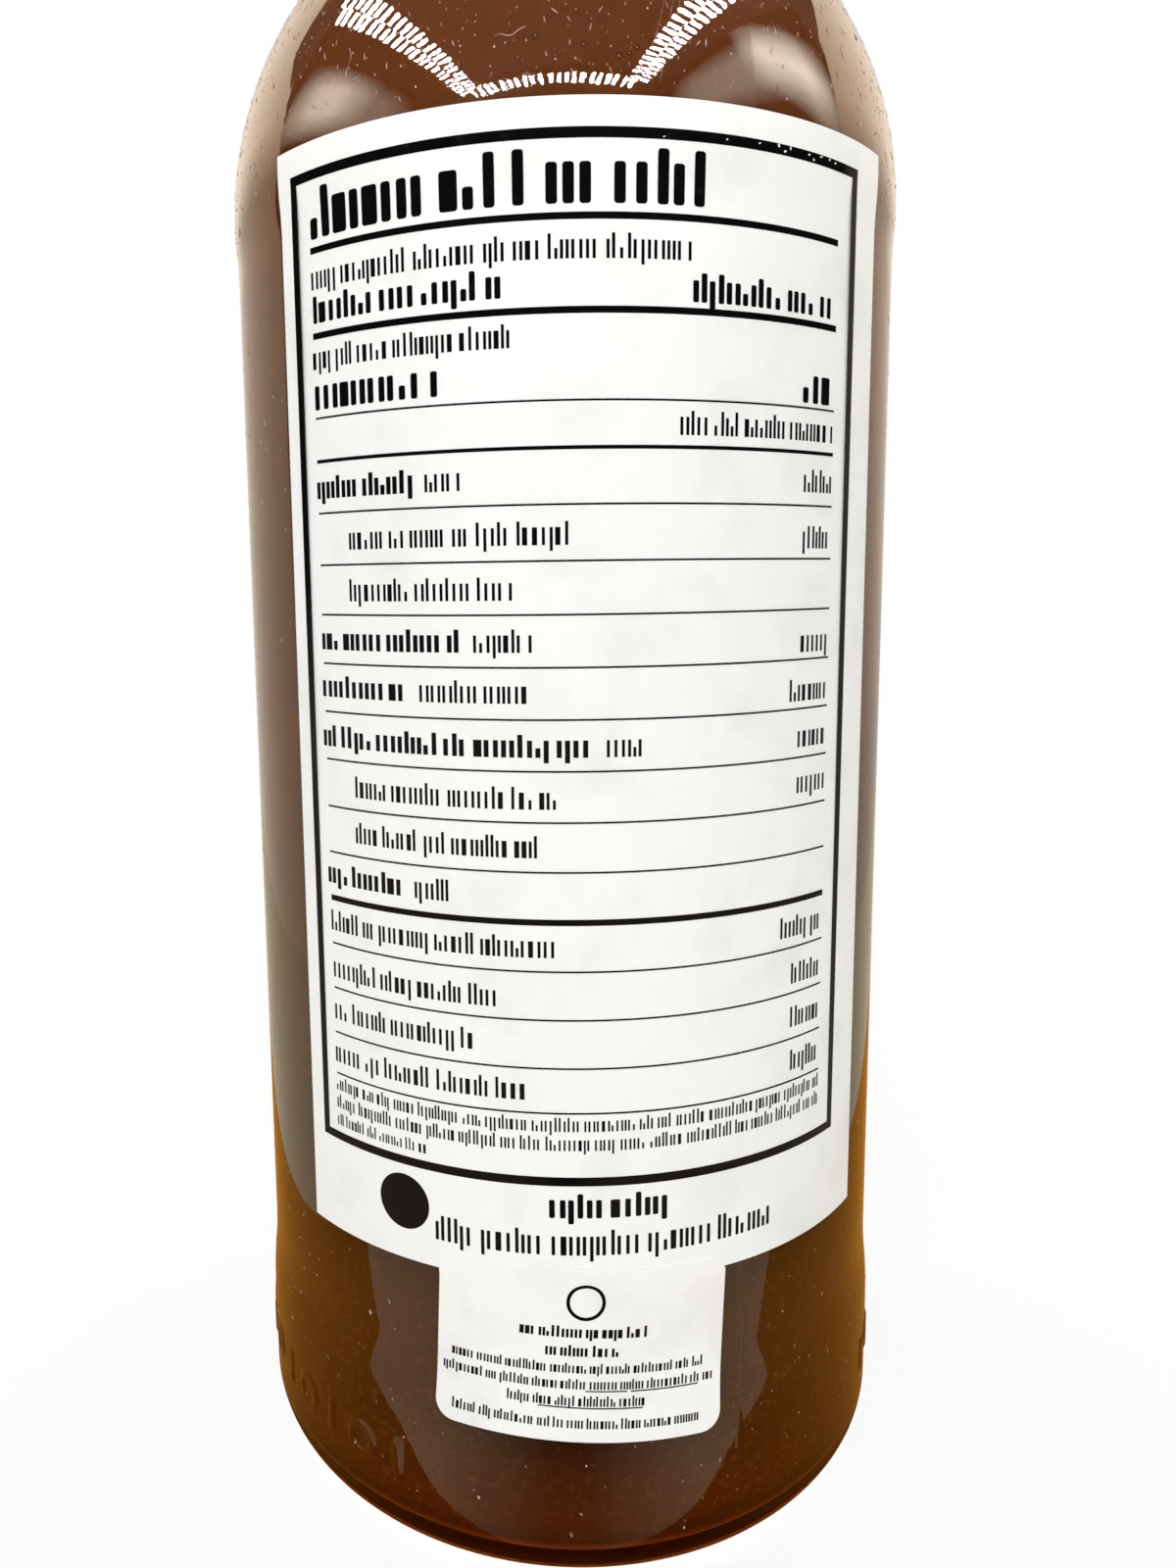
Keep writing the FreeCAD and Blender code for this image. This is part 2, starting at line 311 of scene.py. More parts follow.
bottle, tip = new_outline(0, push_up_h)
run_on(bottle, tip,
       ((0, push_up_h - push_up_r), -push_up_turn, 12), (under_axis, 0),
       ((under_axis, heel_under_r), 90 - heel_side_turn, 8), (side_centre, heel_side_turn, 10),
       (heel_r, mark_z - band_half), (heel_r, mark_z + band_half), (heel_r, heel_h),
       (panel_r, panel_z, 6), (panel_r, shoulder_foot_z), (shoulder_r, shoulder_z, 3),
       ((dome_axis, shoulder_z), dome_turn, 30),
       ((sweep_axis, sweep_z), neck_taper - dome_turn, 22), (finish_r, bead_z),
       ((finish_r + bead_out - bead_r, bead_z + bead_h / 2), bead_turn, 16),
       (finish_r, rim_z - lip_round), ((finish_r - lip_round, rim_z - lip_round), 90, 6),
       (bore_r + lip_round, rim_z), ((bore_r + lip_round, rim_z - lip_round), 90, 6),
       (bore_r, bead_z),
       (sweep_axis + inner_sweep_r * math.cos(neck_inside),
        sweep_z + inner_sweep_r * math.sin(neck_inside)),
       ((sweep_axis, sweep_z), dome_turn - neck_taper, 18),
       ((dome_axis, shoulder_z), -dome_turn, 24), (inner_r, floor_corner_z),
       ((floor_corner_axis, floor_corner_z), -90 - floor_turn, 10),
       ((0, floor_top - floor_dome_r), floor_turn, 8))
spin_round(bottle, glass_segments)

# The marks are raised on a finer stretch of the heel band.
band = [edge for edge in bottle.edges
        if all(abs(abs(v.co.z - mark_z) - band_half) < tiny for v in edge.verts)
        and all(v.co.xy.length > heel_r - 10 * tiny for v in edge.verts)]
upright = [edge for edge in band if abs(edge.verts[0].co.z - edge.verts[1].co.z) > mm]
bmesh.ops.subdivide_edges(bottle, edges=upright, cuts=band_rows - 1, use_grid_fill=True)
level = [edge for edge in bottle.edges
         if all(abs(v.co.z - mark_z) < band_half + tiny for v in edge.verts)
         and all(v.co.xy.length > heel_r - 10 * tiny for v in edge.verts)
         and abs(edge.verts[0].co.z - edge.verts[1].co.z) < tiny]
bmesh.ops.subdivide_edges(bottle, edges=level, cuts=band_columns - 1, use_grid_fill=True)

marks = []
for first, last in mark_arcs:
    steps = round((last - first) / mark_pitch)
    for step in range(steps + 1):
        marks.append((first + step * (last - first) / steps, step % 2 == 1))


def mark_height(across, along, is_ring):
    """How far a soft-edged bar or ring stands out at a point beside its middle."""
    if is_ring:
        past = abs(math.hypot(across, along) - (mark_h - mark_ring_w) / 2) - mark_ring_w / 2
    else:
        past_x = abs(across) - mark_bar_w / 2 + mark_soft / 2
        past_z = abs(along) - mark_h / 2 + mark_soft / 2
        past = math.hypot(max(past_x, 0), max(past_z, 0)) - mark_soft / 2
    share = min(max((mark_soft / 2 - past) / mark_soft, 0), 1)
    return mark_out * share * share * (3 - 2 * share)


for vert in bottle.verts:
    if vert.co.xy.length < heel_r - 10 * tiny or abs(vert.co.z - mark_z) > band_half + tiny:
        continue
    azimuth = math.degrees(math.atan2(vert.co.x, -vert.co.y))
    out = 0.0
    for middle, is_ring in marks:
        apart = (azimuth - middle + 180) % 360 - 180
        if abs(apart) < mark_pitch / 2:
            out = max(out, mark_height(math.radians(apart) * heel_r, vert.co.z - mark_z, is_ring))
    vert.co.xy *= (heel_r + out) / vert.co.xy.length

# The two halves of the mould leave a fine raised line up each side.
seam_azimuth = math.radians(27.4)
seam_w = 0.5 * mm
seam_out = 0.05 * mm
seam_out_above = 0.008 * mm
seam_low_z = 5.2 * mm
seam_side = Vector((math.cos(seam_azimuth), math.sin(seam_azimuth), 0))
for shift in (-seam_w / 2, 0, seam_w / 2):
    bmesh.ops.bisect_plane(bottle, geom=whole(bottle), plane_co=seam_side * shift, plane_no=seam_side)
for vert in bottle.verts:
    if (abs(vert.co.dot(seam_side)) < tiny and seam_low_z < vert.co.z < bead_z - mm
            and abs(vert.co.xy.length - skin_r(vert.co.z)) < 0.1 * mm):
        faint = min(max((vert.co.z - shoulder_foot_z) / (dome_top_z - shoulder_foot_z) * 4, 0), 1)
        out = seam_out + (seam_out_above - seam_out) * faint
        vert.co.xy *= (vert.co.xy.length + out) / vert.co.xy.length

# The thread that the cap turns on.
thread_out = 1.3 * mm
thread_pitch = 3.6 * mm
thread_root_w = 1.8 * mm
thread_crest_w = 0.8 * mm
thread_turns = 1.5
thread_drop = 2.4 * mm
thread_sink = 0.4 * mm
thread_steps = 64


def thread_ridge(built, root_r, crest_r, z_low, turns):
    """A ridge that climbs round the axis, from a root radius to a crest radius."""
    section = [built.verts.new((r, 0, z_low + z)) for r, z in (
        (root_r, -thread_root_w / 2), (crest_r, -thread_crest_w / 2),
        (crest_r, thread_crest_w / 2), (root_r, thread_root_w / 2))]
    steps = round(thread_steps * turns)
    bmesh.ops.spin(built, geom=[built.faces.new(section)], cent=(0, 0, 0), axis=(0, 0, 1),
                   dvec=(0, 0, thread_pitch * turns / steps), angle=2 * math.pi * turns,
                   steps=steps)
    bmesh.ops.recalc_face_normals(built, faces=built.faces)


thread_ridge(bottle, finish_r - thread_sink, finish_r + thread_out,
             rim_z - thread_drop - thread_pitch * thread_turns, thread_turns)

# A few seeds: small round bubbles of air, closed in the glass of the shoulder.
seed_depth = 1.5 * mm
seeds = [(-3.3, 120.0, 0.24), (-4.6, 119.8, 0.14), (-1.3, 121.4, 0.13), (-5.7, 118.6, 0.22),
         (3.4, 119.3, 0.2), (8.2, 118.5, 0.24), (9.7, 118.7, 0.17), (10.8, 119.1, 0.2),
         (-0.6, 119.0, 0.12), (-13.0, 122.5, 0.15), (17.5, 121.0, 0.13), (-24.0, 119.5, 0.14),
         (62.0, 96.0, 0.18), (118.0, 70.0, 0.2), (163.0, 112.0, 0.22), (-140.0, 54.0, 0.16),
         (-97.0, 121.0, 0.2), (201.0, 88.0, 0.15)]
for azimuth, z, radius in seeds:
    turn = math.radians(azimuth)
    out = skin_r(z * mm) - seed_depth
    place = Matrix.Translation((out * math.sin(turn), -out * math.cos(turn), z * mm))
    seed = bmesh.ops.create_icosphere(bottle, subdivisions=2, radius=radius * mm, matrix=place)
    hollow = {face for vert in seed["verts"] for face in vert.link_faces}
    bmesh.ops.reverse_faces(bottle, faces=list(hollow))

glass, glass_shader, place = new_material("clear_glass", 0.02)
glass_shader.inputs["Base Color"].default_value = (0.975, 0.985, 0.975, 1)
glass_shader.inputs["Transmission Weight"].default_value = 1.0
glass_shader.inputs["IOR"].default_value = 1.5
smears = noise_of(glass, place, 140, 4)
join(glass, ranged(glass, smears, 0.35, 0.75, 0.0, 0.05), glass_shader.inputs["Roughness"])
waves = noise_of(glass, place, 70, 1)
draw_lines = noise_of(glass, place, 900, 2, stretch=(1, 1, 0.06))
pits = noise_of(glass, place, 2600, 2)
worn = bumped(glass, pits, 0.0015 * mm, bumped(glass, waves, 0.05 * mm))
join(glass, bumped(glass, draw_lines, 0.0012 * mm, worn), glass_shader.inputs["Normal"])
lamp_ray = glass.node_tree.nodes.new("ShaderNodeLightPath").outputs["Is Shadow Ray"]
clear = glass.node_tree.nodes.new("ShaderNodeBsdfTransparent")
clear.inputs["Color"].default_value = (0.96, 0.97, 0.96, 1)
join(glass, mixed(glass, lamp_ray, glass_shader.outputs["BSDF"], clear.outputs["BSDF"]),
     glass.node_tree.nodes["Material Output"].inputs["Surface"])

glass_bottle = show_piece(bottle, "glass_bottle", [glass])
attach(glass_bottle, "root")
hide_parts("bottle")

# ---- Fish paste ----
# Smooth brown fermented paste that fills the bottle up into the neck. It wets the glass, so it
# reaches just into the wall, and its top is a shallow lumpy hollow that climbs at the edge.
paste_reach = 0.06 * mm
headspace_h = 40.0 * mm
dip = 1.2 * mm
fill_z = rim_z - headspace_h
paste_segments = 192
top_rings = 8

paste, tip = new_outline(0, floor_top - paste_reach)
tip = run_on(paste, tip,
       ((0, floor_top - floor_dome_r), -floor_turn, 8),
       ((floor_corner_axis, floor_corner_z), 90 + floor_turn, 10),
       (inner_r + paste_reach, shoulder_z), ((dome_axis, shoulder_z), dome_turn, 30),
       ((sweep_axis, sweep_z), neck_taper - dome_turn, 20))
neck_slope = (bore_r - tip.co.x) / (bead_z - tip.co.z)
tip = run_line(paste, tip, tip.co.x + neck_slope * (fill_z - tip.co.z), fill_z)
top_r = tip.co.x
for ring in range(1, top_rings):
    inward = ring / top_rings
    tip = run_line(paste, tip, top_r * (1 - inward), fill_z - dip * (1 - (1 - inward) ** 4))
tip = run_line(paste, tip, 0, fill_z - dip)
spin_round(paste, paste_segments)
for vert in paste.verts:
    if vert.co.z > fill_z - dip - 10 * tiny:
        inward = 1 - vert.co.xy.length / top_r
        lumps = noise.noise(vert.co * 260) + 0.4 * noise.noise(vert.co * 700)
        vert.co.z -= 0.7 * mm * min(inward * 5, 1) * (0.5 + lumps)

def axis_of(look, place, axis):
    """One Object coordinate."""
    split = look.node_tree.nodes.new("ShaderNodeSeparateXYZ")
    join(look, place, split.inputs["Vector"])
    return split.outputs[axis]


# Darker low down and lighter up towards the shoulder: painted shade for light that falls
# from above. Brighter and redder at the heel and brightest at the foot: painted light for
# light thrown up from below.
shaded_low_z, lit_high_z = 30 * mm, 140 * mm
heel_light_low_z, heel_light_high_z = 1 * mm, 12 * mm
foot_light_low_z, foot_light_high_z = 2.1 * mm, 3.6 * mm
paste_skin, paste_shader, place = new_material("brown_paste", 0.55, specular=0)
clouds = noise_of(paste_skin, place, 90, 4, stretch=(1, 1, 0.45))
grain = noise_of(paste_skin, place, 1500, 3)
height = axis_of(paste_skin, place, "Z")
# Painted shade: the share of the lighter upper tone, which rises with height.
lit_from_above = ranged(paste_skin, height, shaded_low_z, lit_high_z, 0, 1)
patchy = ranged(paste_skin, clouds, 0.35, 0.68, 0, 1)
shaded_low_tone = blended(paste_skin, patchy, (0.046, 0.0088, 0.0005), (0.054, 0.0112, 0.001))
# Painted light: the heel and the foot are lifted brighter and redder than the tone above them.
heel_painted_light = blended(paste_skin, ranged(paste_skin, height, heel_light_low_z, heel_light_high_z, 0, 1),
                    (0.078, 0.0122, 0.0004), shaded_low_tone)
foot_painted_light = blended(paste_skin, ranged(paste_skin, height, foot_light_low_z, foot_light_high_z, 0, 1),
                    (0.25, 0.044, 0.001), heel_painted_light)
tone = blended(paste_skin, lit_from_above, foot_painted_light,
               blended(paste_skin, patchy, (0.097, 0.0295, 0.0085), (0.114, 0.036, 0.0125)))
tone = blended(paste_skin, ranged(paste_skin, grain, 0.52, 0.72, 0, 0.4), tone,
               (0.11, 0.036, 0.009))
dressed(paste_skin, paste_shader, tone, ranged(paste_skin, grain, 0.3, 0.7, 0.45, 0.65),
        bumped(paste_skin, grain, 0.03 * mm))

bagoong = show_piece(paste, "paste_fill", [paste_skin])
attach(bagoong, "root")
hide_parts("bagoong_paste")

# ---- Paper label ----
# A white coated paper label, wrapped round the front of the panel and up onto the foot of the
# shoulder. It is cut square and lies flat on the glass.
paper_t = 0.12 * mm
label_w = 53.6 * mm
label_middle = math.radians(4.85) * panel_r
label_foot = 7.4 * mm
label_rise = 1.5 * mm
label_z = panel_z + label_foot
label_top_z = shoulder_z + label_rise
upright_turn = Matrix.Rotation(math.radians(90), 3, "X")


def wrap(built, lift=None):
    """Wraps a flat sheet in the plane Y = 0 round the glass. -Y is how far it stands out."""
    for vert in built.verts:
        turn = vert.co.x / panel_r
        out = skin_r(vert.co.z) - vert.co.y + (lift(vert.co.z) if lift else 0)
        vert.co = (out * math.sin(turn), -out * math.cos(turn), vert.co.z)


def thicken(built, thickness):
    """Gives a flat sheet in the plane Y = 0 a front face that far out, towards -Y."""
    grown = bmesh.ops.extrude_face_region(built, geom=built.faces[:], use_keep_orig=True)
    front = [part for part in grown["geom"] if isinstance(part, bmesh.types.BMVert)]
    bmesh.ops.translate(built, vec=(0, -thickness, 0), verts=front)
    bmesh.ops.recalc_face_normals(built, faces=built.faces)


def round_corners(built, verts, corner, steps):
    if corner > 0:
        corners = [vert for vert in verts if len(vert.link_edges) == 2]
        bmesh.ops.bevel(built, geom=corners, offset=corner, segments=steps, profile=0.5,
                        affect="VERTICES", material=-1)


def flat_sheet(width, height, columns, rows, corner=0.0, corner_steps=6):
    """A flat upright sheet about the origin, with round corners where asked."""
    sheet = bmesh.new()
    bmesh.ops.create_grid(sheet, x_segments=columns, y_segments=rows, size=0.5)
    bmesh.ops.scale(sheet, vec=(width, height, 1), verts=sheet.verts)
    round_corners(sheet, sheet.verts, corner, corner_steps)
    bmesh.ops.rotate(sheet, cent=(0, 0, 0), matrix=upright_turn, verts=sheet.verts)
    return sheet


def paper_material(name, colour, shade):
    """Coated white paper with a faint cloud, a fine tooth and a satin face."""
    paper, paper_shader, place = new_material(name, 0.4)
    cloud = noise_of(paper, place, 160, 5)
    tooth = noise_of(paper, place, 4200, 2)
    dressed(paper, paper_shader,
            blended(paper, ranged(paper, cloud, 0.5, 0.72, 0, 1), colour, shade),
            ranged(paper, tooth, 0.3, 0.7, 0.36, 0.5), bumped(paper, tooth, 0.004 * mm))
    return paper


sheet = flat_sheet(label_w, label_top_z - label_z, 96, 60)
bmesh.ops.translate(sheet, vec=(label_middle, 0, (label_z + label_top_z) / 2),
                    verts=sheet.verts)
thicken(sheet, paper_t)
wrap(sheet)
label_paper = paper_material("label_paper", (0.9, 0.905, 0.885), (0.83, 0.84, 0.81))
label_sheet = show_piece(sheet, "label_sheet", [label_paper])
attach(label_sheet, "root")
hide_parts("label")

# ---- Label print ----
# Black ink on the label: a ruled frame round a table, whose words are rows of plain upright
# strokes, then a round spot and two rows under the frame. No row spells anything.
ink_out = 0.02 * mm
ink_sink = 0.01 * mm
widest_strip = 1.2 * mm
smallest_round = 1.9 * mm
bold, plain = 0.22, 0.13
stroke_seed = random.Random(7)


def ink_bar(built, u_low, u_high, z_low, z_high, corner=0.0):
    """One flat bar of ink, in strips narrow enough to follow the curve."""
    place = (Matrix.Translation(((u_low + u_high) / 2, 0, (z_low + z_high) / 2))
             @ upright_turn.to_4x4() @ Matrix.Diagonal((u_high - u_low, z_high - z_low, 1, 1)))
    strips = math.ceil((u_high - u_low) / widest_strip)
    bar = bmesh.ops.create_grid(built, x_segments=strips, y_segments=1, size=0.5, matrix=place)
    round_corners(built, bar["verts"], corner, 2)


def stroke_row(built, u_low, u_high, base_z, cap_h, weight):
    """A line of upright strokes in word-long groups. Weight is a stroke's share of cap_h."""
    corner = 0.25 * weight * cap_h if cap_h > smallest_round else 0.0
    left_in_word = stroke_seed.randint(3, 12)
    u = u_low
    while True:
        kind = stroke_seed.choices(("plain", "tall", "hung", "wide", "low"), (9, 3, 1, 2, 1))[0]
        stroke = weight * cap_h * (1.7 if kind == "wide" else 1.0)
        if u + stroke > u_high + 0.1 * mm:
            break
        low = base_z - (0.24 * cap_h if kind == "hung" else 0)
        high = base_z + cap_h * {"tall": 1.0, "low": 0.42}.get(kind, 0.75)
        ink_bar(built, u, u + stroke, low, high, corner)
        u += stroke + cap_h * stroke_seed.choice((0.1, 0.14, 0.2))
        left_in_word -= 1
        if left_in_word == 0:
            u += 0.24 * cap_h
            left_in_word = stroke_seed.randint(3, 12)


def lay_ink(sheet, lift):
    """Gives a flat sheet of ink its thickness and wraps it onto its paper."""
    bmesh.ops.translate(sheet, vec=(0, ink_sink, 0), verts=sheet.verts)
    thicken(sheet, ink_out + ink_sink)
    wrap(sheet, lift)


print_sheet = bmesh.new()
frame_left, frame_right, frame_low, frame_high = -22.5 * mm, 25.5 * mm, 36.05 * mm, 113.45 * mm
frame_w = 0.72 * mm
ink_bar(print_sheet, frame_left, frame_right, frame_high - frame_w, frame_high)
ink_bar(print_sheet, frame_left, frame_right, frame_low, frame_low + frame_w)
ink_bar(print_sheet, frame_left, frame_left + frame_w, frame_low + frame_w, frame_high - frame_w)
ink_bar(print_sheet, frame_right - frame_w, frame_right, frame_low + frame_w,
        frame_high - frame_w)

rule_left, rule_right = -20.5 * mm, 23.2 * mm
fine, middling, heavy = 0.14 * mm, 0.27 * mm, 0.48 * mm
for z, thick in ((107.7, heavy), (101.42, heavy), (95.28, fine), (92.0, middling), (88.03, fine),
                 (84.02, fine), (80.15, fine), (76.3, fine), (72.45, fine), (68.6, fine),
                 (64.74, fine), (60.95, fine), (57.1, heavy), (53.25, fine), (49.43, fine),
                 (45.58, fine), (41.98, fine)):
    ink_bar(print_sheet, rule_left, rule_right, z * mm - thick / 2, z * mm + thick / 2)

# Each row: where it starts and ends, the height of its foot, the height of its tall strokes
# and its weight, in millimetres.
label_rows = [
    (-20.4, -2.4, 108.5, 3.65, bold), (-1.0, 10.3, 108.5, 3.65, bold),
    (-20.5, 9.5, 104.85, 1.7, plain),
    (-20.4, -4.3, 102.35, 2.0, bold), (9.5, 23.0, 102.05, 2.0, bold),
    (-20.6, -3.1, 98.95, 1.65, plain),
    (-20.5, -8.5, 95.9, 2.4, bold), (19.4, 22.8, 95.65, 2.7, bold),
    (8.6, 23.3, 92.85, 1.7, plain),
    (-20.6, -11.0, 89.15, 1.7, bold), (-10.2, -7.5, 89.15, 1.7, plain),
    (19.7, 23.1, 89.05, 1.7, plain),
    (-17.2, 0.7, 85.15, 1.7, plain), (19.7, 23.1, 84.8, 1.7, plain),
    (-17.3, -3.7, 81.2, 1.7, plain),
    (-20.6, -7.4, 77.4, 1.7, bold), (-6.6, -2.1, 77.4, 1.7, plain),
    (19.7, 23.1, 76.85, 1.7, plain),
    (-20.7, -12.0, 73.65, 1.7, bold), (-11.0, -2.5, 73.65, 1.7, plain),
    (18.6, 23.2, 73.05, 1.7, plain),
    (-20.8, 2.5, 69.65, 1.7, bold), (3.2, 5.8, 69.65, 1.7, plain),
    (19.6, 23.0, 69.4, 1.7, plain),
    (-17.3, 0.0, 65.75, 1.7, plain), (19.6, 23.0, 65.75, 1.7, plain),
    (-17.4, -1.8, 62.05, 1.7, plain),
    (-20.8, -12.6, 58.35, 1.7, bold), (-11.8, -9.0, 58.35, 1.7, plain),
    (-20.6, -0.8, 54.35, 1.7, plain), (18.1, 22.9, 54.15, 1.7, plain),
    (-20.5, -5.2, 50.35, 1.7, plain), (19.4, 22.8, 50.2, 1.7, plain),
    (-20.5, -7.2, 46.75, 1.7, plain), (19.4, 22.8, 46.55, 1.7, plain),
    (-20.6, -2.7, 43.0, 1.7, plain), (19.5, 22.8, 42.9, 1.7, plain),
    (-20.6, 23.2, 40.5, 1.15, plain), (-20.6, 23.2, 38.95, 1.15, plain),
    (-20.6, -11.4, 37.4, 1.0, plain),
    (-1.3, 8.2, 33.4, 2.0, bold), (-10.6, 17.5, 30.3, 2.1, plain),
]
for u_low, u_high, base_z, cap_h, weight in label_rows:
    stroke_row(print_sheet, u_low * mm, u_high * mm, base_z * mm, cap_h * mm, weight)

spot_r = 2.35 * mm
spot_u, spot_z = -13.5 * mm, 32.85 * mm
spot = bmesh.ops.create_circle(print_sheet, cap_ends=True, segments=48, radius=spot_r,
                               matrix=Matrix.Translation((spot_u, 0, spot_z))
                               @ upright_turn.to_4x4())
round_parts = {part for vert in spot["verts"] for part in (vert, *vert.link_edges, *vert.link_faces)}
for step in range(-3, 4):
    cut = bmesh.ops.bisect_plane(print_sheet, geom=list(round_parts), plane_no=(1, 0, 0),
                                 plane_co=(spot_u + step * spot_r / 4, 0, 0))
    round_parts = {part for part in cut["geom"] if part.is_valid}
lay_ink(print_sheet, lambda z: paper_t)

ink, ink_shader, place = new_material("black_ink", 0.12, specular=0.1)
wear = noise_of(ink, place, 900, 4)
dressed(ink, ink_shader,
        blended(ink, ranged(ink, wear, 0.66, 0.78, 0, 0.4), (0.003, 0.003, 0.0028),
                (0.03, 0.03, 0.027)),
        ranged(ink, wear, 0.3, 0.7, 0.09, 0.2), bumped(ink, wear, 0.002 * mm))
label_print = show_piece(print_sheet, "label_print", [ink])
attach(label_print, "root")

# ---- Sticker ----
# A small white sticker with round corners, put on a little crooked by hand. It lies on the
# glass and its upper edge laps over the label. It has a plain ring and rows of strokes.
sticker_t = 0.15 * mm
sticker_w = 23.4 * mm
sticker_h = 14.8 * mm
sticker_middle = 1.15 * mm
sticker_lean = 2.5
sticker_lap = 1.5 * mm
sticker_round = 1.6 * mm
lap_tent = 0.6 * mm
sticker_mid_z = label_z + sticker_lap - sticker_h / 2
column_w = 0.55 * mm
lean = Matrix.Rotation(math.radians(sticker_lean), 3, "Y")


def lap_lift(z):
    """How far the label under it lifts the sticker off the glass."""
    return paper_t * min(max((z - label_z + lap_tent) / lap_tent, 0), 1)


sticker = flat_sheet(sticker_w, sticker_h, 1, 1, sticker_round)
bmesh.ops.rotate(sticker, cent=(0, 0, 0), matrix=lean, verts=sticker.verts)
bmesh.ops.translate(sticker, vec=(sticker_middle, 0, sticker_mid_z), verts=sticker.verts)
columns = math.ceil(sticker_w / 2 / column_w) + 2
cuts = [(Vector((step * column_w, 0, 0)), Vector((1, 0, 0))) for step in range(-columns, columns)]
step_rows = 8
cuts += [(Vector((0, 0, heel_h + heel_blend_h * row / step_rows)), Vector((0, 0, 1)))
         for row in range(step_rows + 1)]
cuts += [(Vector((0, 0, z)), Vector((0, 0, 1))) for z in (label_z - lap_tent, label_z)]
for point, across in cuts:
    bmesh.ops.bisect_plane(sticker, geom=whole(sticker), plane_co=point, plane_no=across)
thicken(sticker, sticker_t)
wrap(sticker, lap_lift)
sticker_paper = paper_material("sticker_paper", (0.92, 0.915, 0.89), (0.82, 0.815, 0.79))
sticker_sheet = show_piece(sticker, "sticker_sheet", [sticker_paper])
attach(sticker_sheet, "root")
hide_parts("sticker")

sticker_ink = bmesh.new()
sticker_rows = [
    (-3.8, 6.3, 23.35, 0.95, bold), (-1.7, 4.1, 21.75, 0.95, bold),
    (-9.3, 11.4, 20.3, 0.85, 0.17), (-10.0, 12.0, 18.95, 0.85, 0.17),
    (-4.6, 6.5, 17.55, 0.85, 0.17), (-9.1, 11.0, 15.75, 0.85, 0.17),
]
for u_low, u_high, base_z, cap_h, weight in sticker_rows:
    stroke_row(sticker_ink, u_low * mm, u_high * mm, base_z * mm, cap_h * mm, weight)
for u_low, u_high, z in ((1.6, 4.9, 18.75), (5.2, 10.8, 18.75), (-2.1, 6.2, 17.35)):
    ink_bar(sticker_ink, u_low * mm, u_high * mm, z * mm, z * mm + 0.1 * mm)
ring_r, ring_w = 1.55 * mm, 0.28 * mm
ring_u, ring_z = 1.35 * mm, 26.35 * mm
ring_start = [sticker_ink.verts.new((ring_u + r, 0, ring_z)) for r in (ring_r - ring_w, ring_r)]
bmesh.ops.spin(sticker_ink, geom=ring_start + [sticker_ink.edges.new(ring_start)],
               cent=(ring_u, 0, ring_z), axis=(0, 1, 0), angle=2 * math.pi, steps=40,
               use_merge=True)
bmesh.ops.rotate(sticker_ink, cent=(sticker_middle, 0, sticker_mid_z), matrix=lean,
                 verts=sticker_ink.verts)
lay_ink(sticker_ink, lambda z: sticker_t + lap_lift(z))
sticker_print = show_piece(sticker_ink, "sticker_print", [ink])
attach(sticker_print, "root")

# ---- Dust, fibres and scuffs ----
# Pale specks and short streaks of dust on the glass, thickest on the shoulder, with three
# fine fibres and three scratches. The ink of the frame's upper right corner is rubbed through
# to the paper.
dust_seed = random.Random(23)
dust_t = 0.02 * mm
dust_batch = 150
fibre_r = 0.024 * mm
scratch_r = 0.012 * mm


def fleck(built, u, z, width, length, lean_turn):
    """A flat six-sided scrap with uneven corners."""
    middle = Vector((u, 0, z))
    place = (Matrix.Translation(middle) @ upright_turn.to_4x4()
             @ Matrix.Rotation(lean_turn, 4, "Z") @ Matrix.Diagonal((width, length, 1, 1)))
    scrap = bmesh.ops.create_circle(built, cap_ends=True, segments=6, radius=0.5, matrix=place)
    for vert in scrap["verts"]:
        vert.co = middle + (vert.co - middle) * dust_seed.uniform(0.7, 1.0)


def pour(built, batch):
    """Adds a small mesh to a larger one, and lets it go."""
    spare = bpy.data.meshes.new("batch")
    batch.to_mesh(spare)
    batch.free()
    built.from_mesh(spare)
    bpy.data.meshes.remove(spare)


def on_paper(u, z):
    """Whether a place on the skin is under the label or the sticker."""
    on_label = abs(u - label_middle) < label_w / 2 + mm and label_z - mm < z < label_top_z + mm
    on_sticker = abs(u - sticker_middle) < sticker_w / 2 + mm and z > sticker_mid_z - sticker_h / 2
    return on_label or (on_sticker and z < label_z)


dust_places = []
half_round = math.pi * panel_r
for z_low, z_high, count, longest in ((112.0, 142.0, 4600, 0.8), (85.0, 116.0, 900, 0.7),
                                      (28.0, 85.0, 650, 0.6), (6.0, 28.0, 420, 0.5),
                                      (142.0, 172.0, 600, 0.7)):
    for scrap in range(count):
        u = dust_seed.uniform(-half_round, half_round)
        z = dust_seed.uniform(z_low, z_high) * mm
        width = (0.06 + 0.1 * dust_seed.random() ** 2) * mm
        length = width * 1.2 + (longest * mm - width) * dust_seed.random() ** 5
        lean_turn = dust_seed.gauss(0.1, 0.3)
        if not on_paper(u, z):
            dust_places.append((u, z, width, length, lean_turn))
for u, z, width, length in ((0.3, 6.3, 0.35, 0.6), (-7.2, 8.6, 0.25, 0.4), (9.5, 5.9, 0.2, 0.3),
                            (-17.5, 21.5, 0.2, 0.5), (-15.0, 14.8, 0.2, 0.45)):
    dust_places.append((u * mm, z * mm, width * mm, length * mm, 0.2))
dust = bmesh.new()
for first in range(0, len(dust_places), dust_batch):
    batch = bmesh.new()
    for flake in dust_places[first:first + dust_batch]:
        fleck(batch, *flake)
    thicken(batch, dust_t)
    pour(dust, batch)
wrap(dust)


